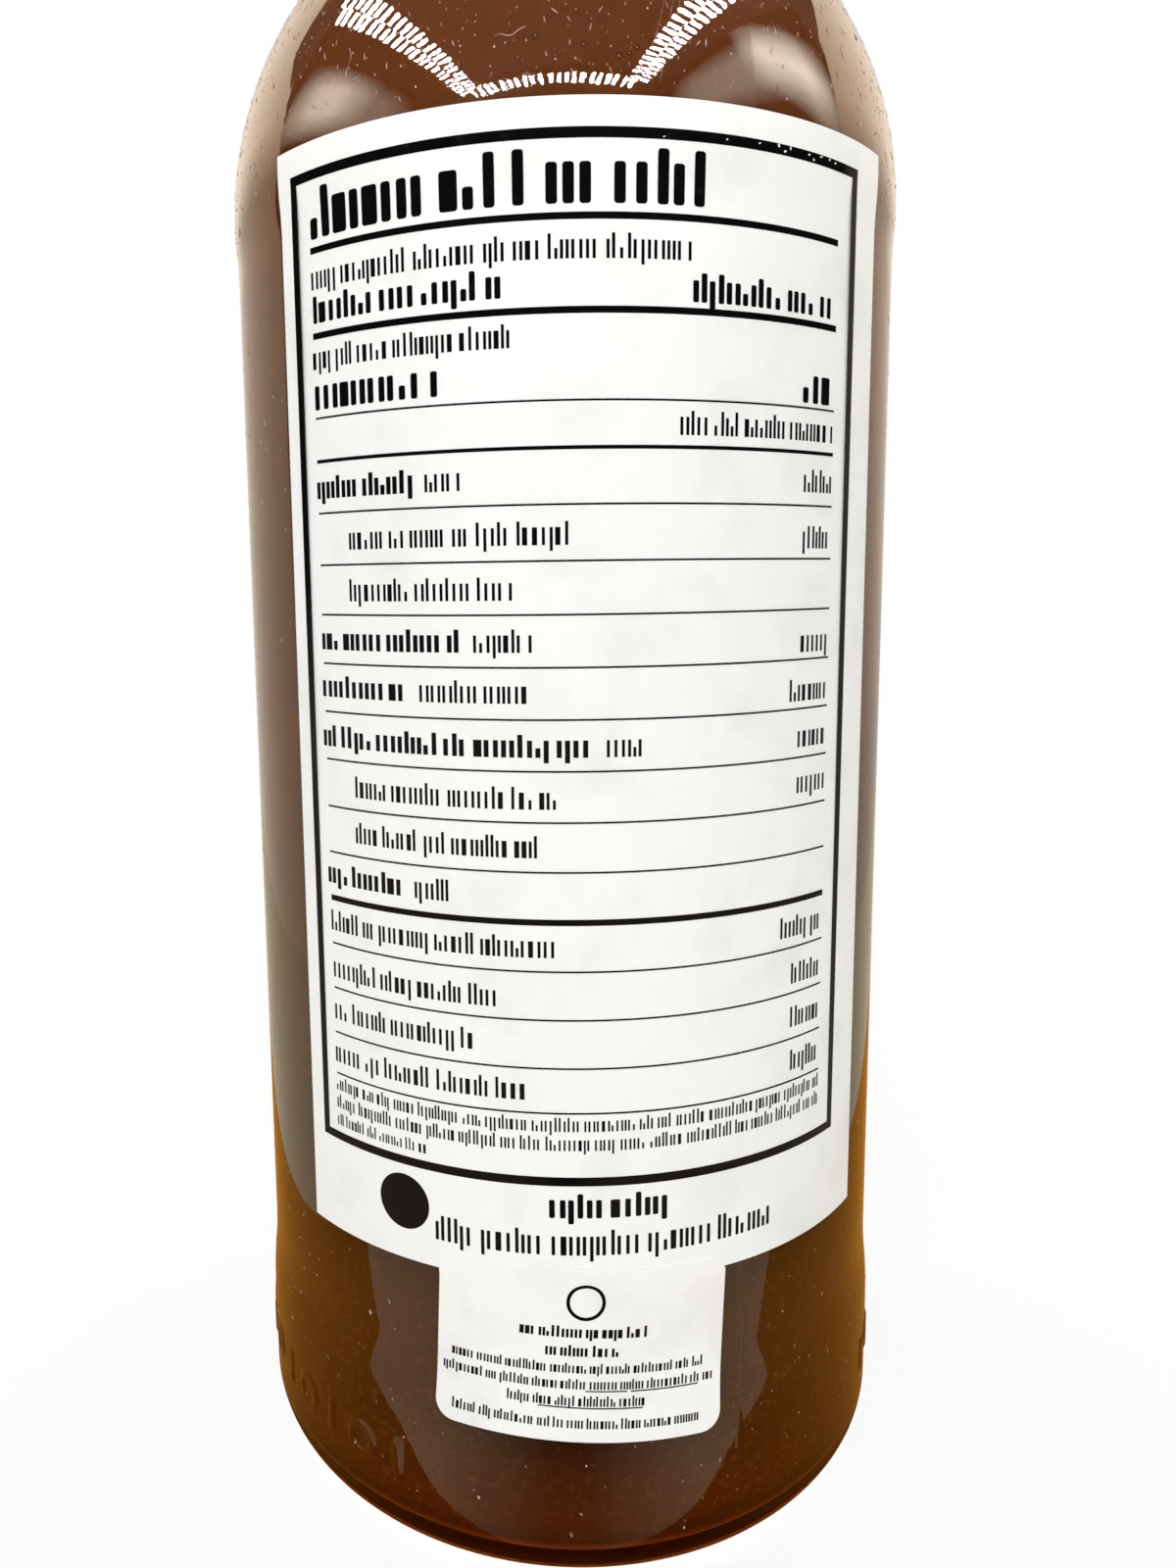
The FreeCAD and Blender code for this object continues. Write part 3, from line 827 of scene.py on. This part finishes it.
def fibre(built, u, z, radius, heading, bends):
    """A fine hair lying on the skin, as a run of bends. A bend is a radius and a turn."""
    hair = bmesh.new()
    bmesh.ops.create_circle(hair, cap_ends=True, segments=6, radius=radius)
    bmesh.ops.rotate(hair, cent=(0, 0, 0), matrix=Matrix.Rotation(math.radians(90), 3, "Y"),
                     verts=hair.verts)
    bmesh.ops.rotate(hair, cent=(0, 0, 0), matrix=Matrix.Rotation(heading, 3, "Y"),
                     verts=hair.verts)
    end = whole(hair)
    middle = Vector((0, 0, 0))
    along = Vector((math.cos(heading), 0, -math.sin(heading)))
    for bend_r, turn in bends:
        side = Vector((0, 1, 0)).cross(along) * (1 if turn > 0 else -1)
        centre = middle + side * bend_r
        turned = Matrix.Rotation(math.radians(turn), 3, "Y")
        spun = bmesh.ops.spin(hair, geom=end, cent=centre, axis=(0, 1, 0),
                              angle=math.radians(turn), steps=max(3, round(abs(turn) / 15)))
        end = spun["geom_last"]
        middle = centre + turned @ (middle - centre)
        along = turned @ along
    bmesh.ops.translate(hair, vec=(u, -radius, z), verts=hair.verts)
    bmesh.ops.recalc_face_normals(hair, faces=hair.faces)
    pour(built, hair)


fibres = bmesh.new()
fibre(fibres, -4.5 * mm, 119.9 * mm, fibre_r, -0.4,
      ((0.9 * mm, 50), (0.6 * mm, -70), (1.6 * mm, 30)))
fibre(fibres, -16.5 * mm, 121.4 * mm, fibre_r, 0.9,
      ((1.3 * mm, 70), (0.7 * mm, -100), (0.8 * mm, -60)))
fibre(fibres, -24.2 * mm, 116.0 * mm, fibre_r, -1.25, ((16.0 * mm, -9), (9.0 * mm, 16)))
for u, z in ((7.6, 122.3), (8.3, 122.4), (8.8, 122.4)):
    fibre(fibres, u * mm, z * mm, scratch_r, 1.85, ((40.0 * mm, 4), (40.0 * mm, -5)))
wrap(fibres)

lint, lint_shader, place = new_material("pale_dust", 0.9, specular=0.1)
lint_cloud = noise_of(lint, place, 900, 3)
dressed(lint, lint_shader,
        blended(lint, ranged(lint, lint_cloud, 0.4, 0.75, 0, 1), (0.2, 0.115, 0.075),
                (0.75, 0.68, 0.6)),
        ranged(lint, lint_cloud, 0.3, 0.7, 0.8, 0.95), bumped(lint, lint_cloud, 0.01 * mm))
for built, name in ((dust, "dust_specks"), (fibres, "dust_fibres")):
    specks = show_piece(built, name, [lint])
    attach(specks, "root")

scuffs = bmesh.new()
scuff_lift = paper_t + ink_out
for u, z, width, length in (
        (11.9, 113.1, 0.2, 0.12), (14.6, 113.2, 0.28, 0.1), (16.3, 113.3, 0.22, 0.34),
        (16.9, 113.0, 0.34, 0.2), (17.4, 113.3, 0.18, 0.3), (19.3, 113.2, 0.3, 0.16),
        (19.8, 112.95, 0.2, 0.2), (20.6, 113.3, 0.4, 0.14), (21.6, 113.3, 0.24, 0.2),
        (22.3, 113.2, 0.3, 0.12), (7.2, 112.9, 0.2, 0.08), (-17.9, 110.0, 0.1, 0.2)):
    fleck(scuffs, u * mm, z * mm, width * mm, length * mm, 0.3)
thicken(scuffs, dust_t)
wrap(scuffs, lambda z: scuff_lift)
bared_paper = show_piece(scuffs, "label_scuffs", [label_paper])
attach(bared_paper, "root")

# ---- Screw cap ----
# A 28 mm cap moulded in white plastic, turned down onto the thread. Fine ribs round its skirt
# fade out under a round shoulder, and its flat top has a shallow ring and a gate mark.
cap_clear = 0.3 * mm
cap_side = 1.5 * mm
cap_roof = 1.6 * mm
cap_gap = 0.8 * mm
cap_ribs = 60
cap_rib_depth = 0.35 * mm
cap_round = 2.2 * mm
cap_edge_round = 0.3 * mm
cap_turns = 1.0
cap_ring_r = 10.5 * mm
cap_ring_w = 0.5 * mm
cap_ring_depth = 0.12 * mm
gate_r = 0.9 * mm
rib_fade = 0.8 * mm
skirt_rows = 14
cap_inner_r = finish_r + thread_out + cap_clear
cap_r = cap_inner_r + cap_side
cap_z = bead_top_z + cap_gap
cap_top_z = rim_z + cap_roof

cap_shell, tip = new_outline(0, cap_top_z - cap_ring_depth)
tip = run_on(cap_shell, tip,
       (gate_r, cap_top_z - cap_ring_depth), (gate_r, cap_top_z),
       (cap_ring_r - cap_ring_w, cap_top_z),
       (cap_ring_r - cap_ring_w / 2, cap_top_z - cap_ring_depth), (cap_ring_r, cap_top_z),
       (cap_r - cap_round, cap_top_z), ((cap_r - cap_round, cap_top_z - cap_round), -90, 10))
skirt_top_z = cap_top_z - cap_round
skirt_low_z = cap_z + cap_edge_round
for row in range(1, skirt_rows + 1):
    tip = run_line(cap_shell, tip, cap_r,
                   skirt_top_z + (skirt_low_z - skirt_top_z) * row / skirt_rows)
run_on(cap_shell, tip,
       ((cap_r - cap_edge_round, skirt_low_z), -90, 4), (cap_inner_r, cap_z), (cap_inner_r, rim_z),
       (0, rim_z))
spin_round(cap_shell, cap_ribs * 6)
for vert in cap_shell.verts:
    if vert.co.xy.length > cap_r - tiny:
        turn = math.atan2(vert.co.y, vert.co.x) * cap_ribs
        faded = min(vert.co.z - skirt_low_z, skirt_top_z - vert.co.z) / rib_fade
        share = min(max(faded, 0), 1) * (0.5 - 0.5 * math.cos(turn)) ** 1.5
        vert.co.xy *= (cap_r - cap_rib_depth * share) / vert.co.xy.length
thread_ridge(cap_shell, cap_inner_r + thread_sink, finish_r + cap_clear,
             rim_z - thread_drop - thread_pitch * (cap_turns + 0.5), cap_turns)

cap_plastic, cap_shader, place = new_material("cap_plastic", 0.35)
cap_cloud = noise_of(cap_plastic, place, 120, 3)
cap_grain = noise_of(cap_plastic, place, 2600, 2)
dressed(cap_plastic, cap_shader,
        blended(cap_plastic, cap_cloud, (0.8, 0.8, 0.77), (0.85, 0.85, 0.82)),
        ranged(cap_plastic, cap_cloud, 0.3, 0.7, 0.3, 0.42),
        bumped(cap_plastic, cap_grain, 0.006 * mm))
screw_cap = show_piece(cap_shell, "screw_cap", [cap_plastic])
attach(screw_cap, "root")
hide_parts("cap")

# ---- Camera ----
# Close in front of the bottle and just above its middle, looking a little down.
camera = bpy.data.objects.new("camera", bpy.data.cameras.new("camera"))
scene.collection.objects.link(camera)
scene.camera = camera
camera.data.sensor_width = 36
camera.data.lens = 25.59
camera.data.shift_x = 0.055
camera.data.shift_y = -0.0403
camera.data.clip_start = 0.005
camera_place = Vector((0, -0.1113, 0.0828))
yaw, pitch, roll = math.radians(3.17), math.radians(7.27), math.radians(-0.738)
camera.matrix_world = (Matrix.Translation(camera_place) @ Matrix.Rotation(yaw, 4, "Z")
                       @ Matrix.Rotation(math.radians(90) - pitch, 4, "X")
                       @ Matrix.Rotation(roll, 4, "Z"))
scene.view_settings.view_transform = "Standard"

# ---- Floor and backdrop ----
# A pale floor that keeps the bottle's soft shadow near it and turns to plain white further
# off, in front of a plain white world. Under the foot it glows deep amber to all rays but the
# camera's: painted light, which the foot's glass shows. Away from the camera the world is a
# plain soft light.
shadow_r, white_r = 0.05, 0.2
foot_glow_r, foot_glow_fade_r = 32.5 * mm, 35 * mm
floor_look = bpy.data.materials.new("pale_floor")
floor_look.use_nodes = True
nodes = floor_look.node_tree.nodes
lit = nodes["Principled BSDF"]
lit.inputs["Base Color"].default_value = (0.95, 0.95, 0.95, 1)
lit.inputs["Roughness"].default_value = 0.9
white = nodes.new("ShaderNodeEmission")
reach = nodes.new("ShaderNodeVectorMath")
reach.operation = "LENGTH"
join(floor_look, nodes.new("ShaderNodeTexCoord").outputs["Object"], reach.inputs[0])
# Painted light: a deep amber glow on the floor under the foot, for all rays but the camera's.
amber = nodes.new("ShaderNodeEmission")
amber.inputs["Color"].default_value = (0.12, 0.03, 0.0, 1)
whiter = mixed(floor_look, ranged(floor_look, reach.outputs["Value"], shadow_r, white_r, 0.8, 1.0),
               lit.outputs["BSDF"], white.outputs["Emission"])
painted_foot_glow = mixed(floor_look,
                   ranged(floor_look, reach.outputs["Value"], foot_glow_r, foot_glow_fade_r, 1, 0),
                   lit.outputs["BSDF"], amber.outputs["Emission"])
seen = mixed(floor_look, nodes.new("ShaderNodeLightPath").outputs["Is Camera Ray"], painted_foot_glow,
             whiter)
join(floor_look, seen, nodes["Material Output"].inputs["Surface"])
floor_mesh = bmesh.new()
bmesh.ops.create_grid(floor_mesh, x_segments=1, y_segments=1, size=3)
floor = show_piece(floor_mesh, "floor", [floor_look])

world = bpy.data.worlds.new("studio")
scene.world = world
world.use_nodes = True
nodes = world.node_tree.nodes


def worked(look, operation, first, second=0.0):
    """A Math node between outputs, or an output and a number."""
    step = look.node_tree.nodes.new("ShaderNodeMath")
    step.operation = operation
    for socket, value in zip(step.inputs, (first, second)):
        if isinstance(value, float):
            socket.default_value = value
        else:
            join(look, value, socket)
    return step.outputs[0]


soft_light, mirror_light = 0.42, 0.02
path = nodes.new("ShaderNodeLightPath")
looked_at = worked(world, "MAXIMUM", path.outputs["Is Camera Ray"],
                   path.outputs["Is Transmission Ray"])
unscattered = worked(world, "LESS_THAN", path.outputs["Diffuse Depth"], 0.5)
white_share = worked(world, "MULTIPLY", looked_at, unscattered)
mirrored = worked(world, "MULTIPLY", path.outputs["Is Glossy Ray"], mirror_light - soft_light)
other = worked(world, "ADD", mirrored, soft_light)
to_white = worked(world, "MULTIPLY", white_share, worked(world, "SUBTRACT", 1.0, other))
join(world, worked(world, "ADD", other, to_white), nodes["Background"].inputs["Strength"])
nodes["Background"].inputs["Color"].default_value = (1, 1, 1, 1)

# ---- Lamps ----
# Large soft lamps, in front above and behind at both sides. Reflections don't see them.


def soft_lamp(name, middle, width, height, energy):
    lamp = bpy.data.lights.new(name, "AREA")
    lamp.shape = "RECTANGLE"
    lamp.size = width
    lamp.size_y = height
    lamp.energy = energy
    holder = bpy.data.objects.new(name, lamp)
    scene.collection.objects.link(holder)
    holder.location = middle
    aim = Vector((0, 0, 0.08)) - Vector(middle)
    holder.rotation_mode = "QUATERNION"
    holder.rotation_quaternion = aim.to_track_quat("-Z", "Y")
    holder.visible_glossy = False


soft_lamp("front_lamp", (-0.03, -0.40, 0.41), 0.3, 0.25, 1.5)
soft_lamp("left_lamp", (-0.55, 0.35, 0.45), 0.4, 0.4, 1.6)
soft_lamp("right_lamp", (0.55, 0.4, 0.45), 0.4, 0.4, 1.6)

# ---- What the glass reflects ----
# Plain glowing panels that only reflections see: walls at both sides and behind, a ceiling,
# the bench the bottle stands on, two wide lamps, and rows of small lights on three sides.


def glow_material(name, colour, strength):
    """An emission. Its colour and strength may be functions of Object coordinates."""
    look = bpy.data.materials.new(name)
    look.use_nodes = True
    nodes = look.node_tree.nodes
    nodes.clear()
    shine = nodes.new("ShaderNodeEmission")
    place = nodes.new("ShaderNodeTexCoord").outputs["Object"]
    for socket, value in (("Color", colour), ("Strength", strength)):
        if callable(value):
            join(look, value(look, place), shine.inputs[socket])
        else:
            shine.inputs[socket].default_value = (*value, 1) if socket == "Color" else value
    out = nodes.new("ShaderNodeOutputMaterial")
    join(look, shine.outputs["Emission"], out.inputs["Surface"])
    return look


def reflected_only(built, name, materials):
    panel = show_piece(built, name, materials)
    panel.visible_camera = panel.visible_diffuse = panel.visible_transmission = False
    panel.visible_shadow = panel.visible_volume_scatter = False


def card(name, corners, material):
    built = bmesh.new()
    built.faces.new([built.verts.new(corner) for corner in corners])
    reflected_only(built, name, [material])


wall_x, wall_far, wall_h = 0.158, 0.4, 0.4
wall_dim_z, wall_even_z = 0.03, 0.15
lamp_lit_z, lamp_full_z = 0.163, 0.2
lamp_near_y, lamp_far_y = 0.05, 0.3


def wall_glow(foot, low, lamp_lit):
    """Dim at its foot and even above, with a lamp's light high up that fades further back."""
    def strength(look, place):
        height, along = axis_of(look, place, "Z"), axis_of(look, place, "Y")
        plain_wall = ranged(look, height, wall_dim_z, wall_even_z, foot, low)
        high_up = ranged(look, height, lamp_lit_z, lamp_full_z, 0, 1)
        lamp = worked(look, "MULTIPLY", high_up,
                      ranged(look, along, lamp_near_y, lamp_far_y, lamp_lit, 0.1))
        return worked(look, "ADD", plain_wall, lamp)
    return strength


def wall_warmth(look, place):
    """Warmest near the bottle and paler further back."""
    further = ranged(look, axis_of(look, place, "Y"), 0.05, 0.2, 0, 1)
    return blended(look, further, (1, 0.8, 0.575), (1, 0.87, 0.72))


# Each wall's near edge leans back as it rises, as pairs of Y and Z in millimetres.
for name, side, near_edge, foot, low in (
        ("left_wall", -1, ((23, 0), (23, 186), (33, 212), (67, 249), (84, 305)), 0.85, 0.95),
        ("right_wall", 1, ((14, 0), (14, 184), (22, 210), (35, 241), (81, 281)), 0.62, 0.95)):
    corners = [(side * wall_x, y * mm, z * mm) for y, z in near_edge]
    corners += [(side * wall_x, 0.1, wall_h), (side * wall_x, wall_far, wall_h),
                (side * wall_x, wall_far, 0)]
    card(name, corners, glow_material(name, wall_warmth, wall_glow(foot, low, 1.5)))
card("back_wall", [(-wall_x, wall_far, 0), (wall_x, wall_far, 0), (wall_x, wall_far, wall_h),
                   (-wall_x, wall_far, wall_h)],
     glow_material("back_wall", (1, 0.93, 0.8), 0.95))
ceiling_z, ceiling_half = 0.55, 0.6
card("ceiling", [(-ceiling_half, -ceiling_half, ceiling_z), (-ceiling_half, ceiling_half, ceiling_z),
                 (ceiling_half, ceiling_half, ceiling_z), (ceiling_half, -ceiling_half, ceiling_z)],
     glow_material("ceiling", (1, 0.9, 0.75), 0.1))

# The bench: a golden board under the bottle, its warm surface beyond the board at both sides
# and paler in front. Straight in front of the bottle it lies in shade.
bench_z = 0.5 * mm
bench_in, bench_out = 31.5 * mm, 400 * mm
board_left, board_right, board_front, board_back = -66 * mm, 78 * mm, -34 * mm, 150 * mm


def shaded_middle(full, shade, near, far):
    def strength(look, place):
        aside = worked(look, "ABSOLUTE", axis_of(look, place, "X"))
        return ranged(look, aside, near, far, shade, full)
    return strength


bench = bmesh.new()
bench_start = [bench.verts.new((r, 0, bench_z)) for r in (bench_in, bench_out)]
bmesh.ops.spin(bench, geom=bench_start + [bench.edges.new(bench_start)], cent=(0, 0, 0),
               axis=(0, 0, 1), angle=2 * math.pi, steps=48, use_merge=True)
for point, across in (((board_left, 0, 0), (1, 0, 0)), ((board_right, 0, 0), (1, 0, 0)),
                      ((0, board_front, 0), (0, 1, 0)), ((0, board_back, 0), (0, 1, 0))):
    bmesh.ops.bisect_plane(bench, geom=whole(bench), plane_co=point, plane_no=across)
for face in bench.faces:
    middle = face.calc_center_median()
    if middle.y < board_front:
        face.material_index = 2
    elif board_left < middle.x < board_right and middle.y < board_back:
        face.material_index = 0
    else:
        face.material_index = 1
reflected_only(bench, "bench", [
    glow_material("board", (1, 0.42, 0.06), shaded_middle(0.6, 0.05, 12 * mm, 48 * mm)),
    glow_material("bench_sides", (1, 0.88, 0.6), 0.7),
    glow_material("bench_front", (1, 0.74, 0.46), shaded_middle(0.95, 0.1, 3 * mm, 20 * mm))])


def between(look, value, low, high, soft):
    """1 between two values, fading to 0 at both ends over a soft margin."""
    return worked(look, "MULTIPLY", ranged(look, value, low, low + soft, 0, 1),
                  ranged(look, value, high - soft, high, 1, 0))


def lamp_glow(pools):
    """Soft pools of light that add up. Each has a span along Y + lean * Z, a span along
    Z + rise * Y, the soft margin of each, and a strength. Lengths are in millimetres."""
    def strength(look, place):
        total = None
        for lean, across, across_soft, rise, up, up_soft, glow in pools:
            spans = []
            for direction, span, soft in (((0, 1, lean), across, across_soft),
                                          ((0, rise, 1), up, up_soft)):
                line = look.node_tree.nodes.new("ShaderNodeVectorMath")
                line.operation = "DOT_PRODUCT"
                line.inputs[1].default_value = direction
                join(look, place, line.inputs[0])
                spans.append(between(look, line.outputs["Value"], span[0] * mm, span[1] * mm,
                                     soft * mm))
            pool = ranged(look, worked(look, "MULTIPLY", *spans), 0, 1, 0, glow)
            total = pool if total is None else worked(look, "ADD", total, pool)
        return total
    return strength


lamp_x, lamp_front, lamp_back = 200 * mm, -0.31, 0.04
lamp_low, lamp_high = 0.17, 0.32
for name, side, pools in (
        ("left_wide_lamp", -1, ((0, (-200, 10), 60, 0, (194, 264), 22, 2.3),
                                (0.72, (55, 210), 62, 0, (196, 270), 26, 5.2))),
        ("right_wide_lamp", 1, ((0, (-300, 0), 70, 0, (214, 306), 28, 3.0),
                                (0, (-115, 34), 42, 0.52, (184, 286), 46, 8.0)))):
    x = side * lamp_x
    card(name, [(x, lamp_front, lamp_low), (x, lamp_back, lamp_low), (x, lamp_back, lamp_high),
                (x, lamp_front, lamp_high)],
         glow_material(name, (1, 0.92, 0.76), lamp_glow(pools)))

light_w, light_pitch = 6.5 * mm, 14 * mm
strip_z = 300 * mm
lights = bmesh.new()
light_seed = random.Random(5)


def light_row(start, end, across, length):
    """A row of small lights between two points, each long way across the row."""
    start, end, side = Vector(start), Vector(end), Vector(across)
    along = (end - start).normalized()
    count = round((end - start).length / light_pitch)
    for i in range(count + 1):
        middle = start + along * light_pitch * (i + light_seed.uniform(-0.12, 0.12))
        reach = length * light_seed.uniform(0.75, 1.0)
        corners = [middle + along * a * light_w / 2 + side * b * reach / 2
                   for a, b in ((-1, -1), (1, -1), (1, 1), (-1, 1))]
        lights.faces.new([lights.verts.new(corner) for corner in corners])


light_row((-0.155, -0.312, strip_z), (0.125, -0.312, strip_z), (0, 1, 0), 36 * mm)
for x, stagger in ((-0.172, 0), (-0.152, 0.007), (0.125, 0), (0.143, 0.007)):
    light_row((x, stagger - 0.3, strip_z), (x, stagger + 0.02, strip_z), (1, 0, 0), 20 * mm)
reflected_only(lights, "strip_lights", [glow_material("strip_lights", (1, 1, 1), 100)])
